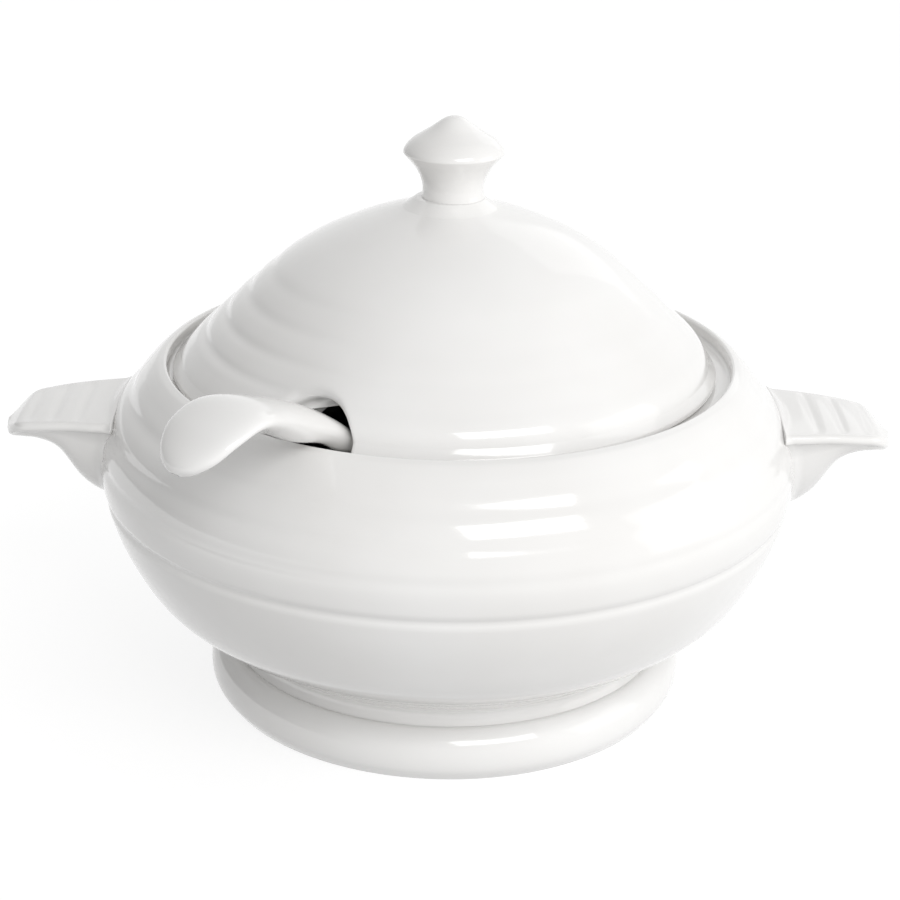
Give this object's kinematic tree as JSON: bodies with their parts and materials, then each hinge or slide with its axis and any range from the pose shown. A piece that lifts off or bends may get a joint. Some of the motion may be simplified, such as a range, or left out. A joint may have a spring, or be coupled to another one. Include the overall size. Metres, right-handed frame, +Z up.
{
  "type": "soup tureen",
  "caption": "Round white glazed soup tureen on a foot ring, with side handles, a domed notched lid with a knob, and a ladle resting in the notch.",
  "frame": {"origin": "centre of the foot ring, on the table", "axes": "+X through the right side handle, +Z up, the ladle leans out over the rim towards -X and -Y"},
  "size_m": [0.359, 0.2958, 0.2375],
  "materials": {
    "white_glaze": "gloss"
  },
  "bodies": {
    "tureen": {"bowl": "white_glaze", "foot_ring": "white_glaze", "handle_left": "white_glaze", "handle_right": "white_glaze"},
    "lid": {"lid_dome": "white_glaze", "lid_knob": "white_glaze"},
    "ladle": {"ladle_cup": "white_glaze", "ladle_handle": "white_glaze"}
  },
  "joints": [
    {"name": "lid_lift", "type": "slide", "parent": "tureen", "child": "lid", "axis": [0, 0, 1], "range_m": [0, 0.15]},
    {"name": "ladle_draw", "type": "slide", "parent": "tureen", "child": "ladle", "axis": [-0.5044, -0.6011, 0.6199], "range_m": [0, 0.075]}
  ]
}
